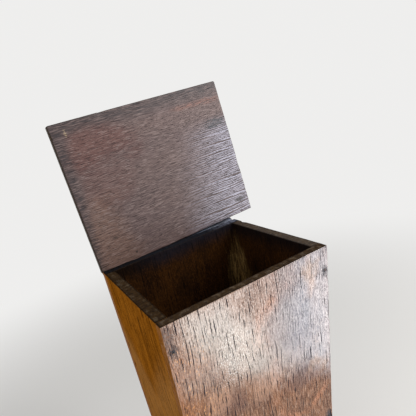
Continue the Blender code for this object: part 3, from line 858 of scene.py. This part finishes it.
def floor_look(stage):
    """A pale floor that keeps the shadow near the box and runs into the background further out."""
    paint = Paint("pale_floor")
    place = paint.place()
    across, far, _ = paint.parts(place)
    distance = (across * across + far * far) ** 0.5
    tone = paint.cloud(place, (300, 300, 300), 1.0)
    colour = paint.mix(tone * 0.12, tuple(stage.floor), (0.78, 0.77, 0.75))
    paint.finish(Base_Color=colour, Roughness=0.75, Specular_IOR_Level=0.2)
    glow = paint.node("ShaderNodeEmission", {}, {"Color": PAPER_WHITE, "Strength": stage.background})
    lit = Socket(paint, paint.shader.outputs[0])
    blend = paint.node("ShaderNodeMixShader", {}, {0: paint.step(distance, *FLOOR_FADE), 1: lit, 2: glow})
    paint.set(paint.tree.nodes["Material Output"], "Surface", blend)
    return paint.material


def settings(context):
    """The wear and the finish, as the scene holds them."""
    return context.scene.candle_box_wear, context.scene.candle_box_finish


class CANDLEBOX_OT_stage(bpy.types.Operator):
    """Set out the pale floor, the soft lamps, the background and the camera"""

    bl_idname = "candle_box.stage"
    bl_label = "Stage"

    def execute(self, context):
        stage = context.scene.candle_box_stage
        context.scene.view_settings.view_transform = "Standard"
        bm = bmesh.new()
        bmesh.ops.create_grid(bm, x_segments=FLOOR_PARTS, y_segments=FLOOR_PARTS, size=FLOOR_HALF)
        floor = piece_from("floor", bm)
        floor.data.materials.append(floor_look(stage))
        self.light_world(context, stage)
        self.add_lamp("key_softbox", (0.95, -0.85, 1.15), (0, 0, 0.40), (0.9, 0.9), 15.0)
        self.add_lamp("low_softbox", (0.95, -0.95, 0.30), (0.05, 0.05, 0.42), (0.66, 0.46), 5.5)
        self.add_lamp("left_fill", (-1.15, -0.55, 0.75), (0, 0, 0.3), (0.9, 0.9), 3.2)
        card = self.add_lamp("front_card", (0.26, -0.415, 0.02), (0.26, -0.415, 1.0), (0.30, 0.46), 1.8)
        card.rotation_euler = (math.pi, 0, math.radians(-54.3))
        camera = bpy.data.cameras.new("camera")
        camera.sensor_width = 36.0
        camera.lens = stage.lens
        camera.clip_start = 0.01
        turn = Matrix((CAMERA_RIGHT, CAMERA_UP, CAMERA_RIGHT.cross(CAMERA_UP))).transposed().to_4x4()
        turn.translation = CAMERA_PLACE
        context.scene.camera = placed("camera", camera, turn)
        return {"FINISHED"}

    def light_world(self, context, stage):
        world = bpy.data.worlds.new("studio")
        context.scene.world = world
        world.use_nodes = True
        paint = Paint("studio", world.node_tree)
        back = world.node_tree.nodes["Background"]
        seen = paint.node("ShaderNodeLightPath", {}, {}, "Is Camera Ray")
        for ray in ("Is Glossy Ray", "Is Transmission Ray"):
            seen = seen.most(paint.node("ShaderNodeLightPath", {}, {}, ray))
        paint.set(back, "Color", PAPER_WHITE)
        paint.set(back, "Strength", stage.daylight + seen * (stage.background - stage.daylight))

    def add_lamp(self, name, place, aim, size, power):
        lamp = bpy.data.lights.new(name, "AREA")
        lamp.shape = "RECTANGLE"
        lamp.size, lamp.size_y = size
        lamp.energy = power
        obj = placed(name, lamp)
        obj.location = place
        obj.rotation_euler = (Vector(aim) - Vector(place)).to_track_quat("-Z", "Y").to_euler()
        obj.visible_camera = False
        return obj


class CANDLEBOX_OT_walls(bpy.types.Operator):
    """Build the front, the two sides and the back with worn edges"""

    bl_idname = "candle_box.walls"
    bl_label = "Walls"

    def execute(self, context):
        wear, finish = settings(context)
        front_end = wall("front", FRONT_THICK - BOARD_LAP)
        back_end = wall("back", BOARD_THICK - BOARD_LAP)
        # Both sides are laid paler towards their foot as painted satin sheen, and the left side's honey tones
        # are partly painted warm bounce light.
        left_look = side_look(
            finish, "honey_left_oak", finish.left, finish.left_deep, pale=rgb(176, 112, 34),
            foot_tone=rgb(166, 122, 72), gloss=0.0, pore=(5.0, 20.0))
        right_look = side_look(
            finish, "brown_right_oak", finish.right, finish.right_deep, pale=rgb(146, 102, 64),
            foot_tone=rgb(140, 104, 74), gloss=0.25, pore=(3.2, 14.0))
        inside = inside_look(finish, "dark_inside_oak")
        linings = {
            "right": inside_look(finish, "rubbed_right_oak", rubbed=30),
            # The back's lining takes a navy band of painted shade under the lid along its top.
            "back": inside_look(finish, "rubbed_back_oak", rubbed=-63, top=rgb(19, 24, 34)),
        }
        boards = {
            "front": ("front_board", front_look(finish), "oak_front", (wall("left"), wall("right"))),
            "left": ("left_side", left_look, "oak_side", (back_end, front_end)),
            "right": ("right_side", right_look, "oak_side", (front_end, back_end)),
            "back": ("back_board", back_look(finish), "oak_back", (wall("right"), wall("left"))),
        }
        for seed, (side, (node, look, slot, ends)) in enumerate(boards.items(), start=WALL_SEED):
            thickness = FRONT_THICK if side == "front" else BOARD_THICK
            faces = (wall(side), wall(side, thickness))
            corners = corners_between(ends, faces, (wall("floor"), wall("top")))
            board = worn_board(
                side, corners, BOARD_STEP, wear.arris, wear.warp, wear.chips, wear.chip_depth, seed)
            dress(board, (look, linings.get(side, inside)), "box", slot, node)
        return {"FINISHED"}


class CANDLEBOX_OT_bottom(bpy.types.Operator):
    """Build the bottom board between the four walls"""

    bl_idname = "candle_box.bottom"
    bl_label = "Bottom board"

    def execute(self, context):
        wear, _ = settings(context)
        side_in = BOARD_THICK - BOARD_LAP
        corners = corners_between(
            (wall("front", FRONT_THICK - BOARD_LAP), wall("back", side_in)),
            (wall("floor"), level(BOARD_THICK)),
            (wall("left", side_in), wall("right", side_in)),
        )
        board = worn_board(
            "bottom", corners, BOTTOM_STEP, wear.arris, wear.warp * 0.5, BOTTOM_CHIPS, wear.chip_depth,
            BOTTOM_SEED)
        looks = (bpy.data.materials["plain_back_oak"], bpy.data.materials["dark_inside_oak"])
        dress(board, looks, "box", "oak_back", "bottom_board")
        return {"FINISHED"}


class CANDLEBOX_OT_lid(bpy.types.Operator):
    """Build the crooked lid, standing open"""

    bl_idname = "candle_box.lid"
    bl_label = "Lid"

    def execute(self, context):
        wear, finish = settings(context)
        depth, thickness, width = (0, LID_DEPTH), (0, BOARD_THICK), (0, LID_WIDTH)
        corners = [[[FRAMES["lid"] @ Vector((x, y, z)) for z in width] for y in thickness] for x in depth]
        board = worn_board(
            "lid", corners, BOARD_STEP, wear.lid_arris, -wear.warp * 0.5, wear.chips, wear.chip_depth,
            LID_SEED, lined=False)
        dress(board, (lid_look(finish),), "lid", "oak_lid", "lid")
        return {"FINISHED"}


def lid_edge(x):
    """Height, against the rim, of the open lid's lower outer edge at a place along the hinge."""
    behind = LID_CORNER.y - (x - LID_CORNER.x) * math.tan(LID_SKEW)
    return -behind * math.sin(LID_OPEN) + LID_OUTER * math.cos(LID_OPEN)


def strip_path(x):
    """The leather's middle line at x, as places behind the back and above the rim, from its lower end up."""
    edge = lid_edge(x)
    up_lid = Vector((-math.cos(LID_OPEN), math.sin(LID_OPEN)))
    out_lid = Vector((math.sin(LID_OPEN), math.cos(LID_OPEN)))
    leaf = Vector((HINGE.y - BACK, 0)) + out_lid * (LID_OUTER + LEATHER_OFF)
    start = Vector((LEATHER_OFF, BOX_LEAF_TOP))
    end = leaf + up_lid * LID_LEAF_START
    middle = Vector((BOARD_THICK * 0.62, edge - FOLD_UNDER_LID))
    rise = Vector((0, 0.65 * (middle.y - start.y)))
    lead = Vector((BOARD_THICK * 0.26, 0))
    first = interpolate_bezier(start, start + rise, middle - lead, middle, FOLD_ROWS)
    low = Vector((BOARD_THICK + FOLD_LOW_BULGE, edge - FOLD_UNDER_LID * 1.45))
    out = Vector((BOARD_THICK + FOLD_OUT_BULGE, edge + FOLD_UNDER_LID * 0.45))
    second = interpolate_bezier(middle, low, out, end, FOLD_ROWS)
    below = [start - Vector((0, LEAF_HEIGHT * (LEAF_ROWS - k) / LEAF_ROWS)) for k in range(LEAF_ROWS)]
    above = [end + up_lid * (LEAF_HEIGHT * k / LEAF_ROWS) for k in range(1, LEAF_ROWS + 1)]
    return below + first + second[1:] + above


class CANDLEBOX_OT_hinge(bpy.types.Operator):
    """Build the leather strip that carries the lid, bent round the fold at the lid's open angle"""

    bl_idname = "candle_box.hinge"
    bl_label = "Leather hinge"

    def execute(self, context):
        wear, finish = settings(context)
        bm = bmesh.new()
        edge = bm.verts.layers.float.new("edge")
        places = stations(STRIP_WIDTH, STRIP_STEP, STRIP_ENDS)
        strip = [self.column(bm, edge, place - STRIP_WIDTH / 2, wear.leather_curl) for place in places]
        for (a_inner, a_outer), (b_inner, b_outer) in zip(strip, strip[1:]):
            a, b = a_inner + a_outer[::-1], b_inner + b_outer[::-1]
            for k in range(len(a)):
                bm.faces.new((a[k - 1], a[k], b[k], b[k - 1]))
        for inner, outer in (strip[0], strip[-1]):
            for k in range(1, len(inner)):
                bm.faces.new((inner[k - 1], inner[k], outer[k], outer[k - 1]))
        leather = piece_from("hinge_strip", bm)
        leather.data.materials.append(leather_look(finish))
        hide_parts("hinge_leaf_box", "hinge_fold", "hinge_leaf_lid")
        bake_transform(leather)
        return {"FINISHED"}

    def column(self, bm, edge, x, curl):
        """Points on the inner and on the outer face of the leather, from its lower end up."""
        path = strip_path(x)
        lengths = [0.0]
        for a, b in zip(path, path[1:]):
            lengths.append(lengths[-1] + (b - a).length)
        side = STRIP_WIDTH / 2 - abs(x)
        inner, outer = [], []
        for i, (point, length) in enumerate(zip(path, lengths)):
            way = (path[min(i + 1, len(path) - 1)] - path[max(i - 1, 0)]).normalized()
            normal = Vector((way.y, -way.x))
            free = min(length, lengths[-1] - length)
            near = min(Vector((x - tack, free - LEAF_HEIGHT / 2)).length for tack in TACK_COLUMNS)
            pressed = math.exp(-((near / TACK_PRESS) ** 2))
            wave = noise.noise(Vector((x * LEATHER_LUMPS, length * LEATHER_LUMPS, 3.3)))
            lift = LEATHER_LIFT * (1 - pressed) * (1 + wave)
            if free < CURL_REACH:
                lift += curl * (1 - free / CURL_REACH) ** 2 * (0.65 + 0.6 * wave)
            thin = min(1.0, (side + 0.0002) / THIN_EDGE) ** 0.5
            thick = LEATHER * (0.5 + 0.5 * thin) * (1 - 0.18 * pressed)
            torn = noise.noise(Vector((length * RAGGED_LUMPS, x, 7.1)))
            ragged = RAGGED_SHARE * torn * (side < RAGGED_EDGE)
            for face, out in ((inner, -LEATHER / 2), (outer, thick - LEATHER / 2)):
                p = point + normal * (out + lift)
                vert = bm.verts.new((x * (1 + ragged), BACK + p.x, HEIGHT + p.y))
                vert[edge] = min(side, free) / MM
                face.append(vert)
        return inner, outer


def wrought_head(bm, matrix, radius, height, proud, seed):
    """A hammered nail head, an uneven dome with a short shank, along the matrix's z axis."""
    draw = random.Random(seed)
    tilt = Vector((draw.uniform(-0.12, 0.12), draw.uniform(-0.12, 0.12)))
    swell = [1 + draw.uniform(-0.09, 0.09) for _ in range(HEAD_SIDES)]
    turn = draw.uniform(0, math.pi)
    tip = bm.verts.new(matrix @ Vector((0, 0, proud)))
    rows = []
    for share, up in HEAD_PROFILE:
        row = []
        for k, bulge in enumerate(swell):
            angle = turn + 2 * math.pi * k / HEAD_SIDES
            reach = radius * share * (bulge if share > 0.5 else 1 + (bulge - 1) * 0.4)
            x, y = reach * math.cos(angle), reach * math.sin(angle)
            z = proud - height + height * up + (tilt.x * x + tilt.y * y) * (up > 0)
            row.append(bm.verts.new(matrix @ Vector((x, y, z))))
        rows.append(row)
    for k in range(HEAD_SIDES):
        bm.faces.new((tip, rows[0][k - 1], rows[0][k]))
        for a, b in zip(rows, rows[1:]):
            bm.faces.new((a[k - 1], b[k - 1], b[k], a[k]))
    bm.faces.new(rows[-1])


def pointing(place, outward):
    turn = Vector((0, 0, 1)).rotation_difference(Vector(outward).normalized())
    return Matrix.Translation(place) @ turn.to_matrix().to_4x4()


class CANDLEBOX_OT_nails(bpy.types.Operator):
    """Drive the wrought nails through the walls"""

    bl_idname = "candle_box.nails"
    bl_label = "Nails"

    def execute(self, context):
        wear, finish = settings(context)
        iron = iron_look(finish)
        groups = {
            "front_nail_heads": ("front",),
            "back_nail_heads": ("back",),
            "bottom_nail_heads": ("bottom_front", "bottom_back", "bottom_left", "bottom_right"),
        }
        seed = NAIL_SEED
        for name, faces in groups.items():
            bm = bmesh.new()
            nails = [nail for face in faces for nail in nails_of(face)]
            for _, place, outward in nails:
                wrought_head(bm, pointing(place, outward), wear.nail_head, NAIL_HEIGHT, NAIL_PROUD, seed)
                seed += 1
            dress(piece_from(name, bm), (iron,), "box", "nail_iron", *(node for node, _, _ in nails))
        return {"FINISHED"}


class CANDLEBOX_OT_tacks(bpy.types.Operator):
    """Set the tacks that hold the two leaves of the leather"""

    bl_idname = "candle_box.tacks"
    bl_label = "Tacks"

    def execute(self, context):
        wear, finish = settings(context)
        iron = iron_look(finish)
        above = LEATHER_GAP + LEATHER
        on_box = HEIGHT + BOX_LEAF_TOP - LEAF_HEIGHT / 2
        on_lid = -LID_LEAF_START - LEAF_HEIGHT / 2
        for body, first_seed in TACK_SEEDS.items():
            bm = bmesh.new()
            for seed, x in enumerate(TACK_COLUMNS, start=first_seed):
                matrix = PIVOT @ Matrix.Translation((x, on_lid, LID_OUTER + above))
                if body == "box":
                    matrix = pointing((x, BACK + above, on_box), (0, 1, 0))
                wrought_head(bm, matrix, wear.tack_head, TACK_HEIGHT, TACK_PROUD, seed)
            nodes = [f"{body}_tack_{k}" for k in range(1, TACKS + 1)]
            dress(piece_from(f"{body}_tack_heads", bm), (iron,), body, "nail_iron", *nodes)
        return {"FINISHED"}


OPERATORS = (
    CANDLEBOX_OT_stage,
    CANDLEBOX_OT_walls,
    CANDLEBOX_OT_bottom,
    CANDLEBOX_OT_lid,
    CANDLEBOX_OT_hinge,
    CANDLEBOX_OT_nails,
    CANDLEBOX_OT_tacks,
)


class CANDLEBOX_PT_panel(bpy.types.Panel):
    """Lists the pieces of the candle box"""

    bl_idname = "CANDLEBOX_PT_panel"
    bl_label = "Candle Box"
    bl_space_type = "VIEW_3D"
    bl_region_type = "UI"
    bl_category = "Candle Box"

    def draw(self, context):
        for operator in OPERATORS:
            self.layout.operator(operator.bl_idname)


GROUPS = {
    "candle_box_wear": CANDLEBOX_PG_wear,
    "candle_box_finish": CANDLEBOX_PG_finish,
    "candle_box_stage": CANDLEBOX_PG_stage,
}
CLASSES = (*GROUPS.values(), *OPERATORS, CANDLEBOX_PT_panel)


def register():
    for made in CLASSES:
        bpy.utils.register_class(made)
    for name, group in GROUPS.items():
        setattr(bpy.types.Scene, name, PointerProperty(type=group))


def unregister():
    for name in GROUPS:
        delattr(bpy.types.Scene, name)
    for made in reversed(CLASSES):
        bpy.utils.unregister_class(made)


def main():
    register()
    bpy.ops.candle_box.stage()
    bpy.ops.candle_box.walls()
    bpy.ops.candle_box.bottom()
    bpy.ops.candle_box.lid()
    bpy.ops.candle_box.hinge()
    bpy.ops.candle_box.nails()
    bpy.ops.candle_box.tacks()


if __name__ == "__main__":
    main()
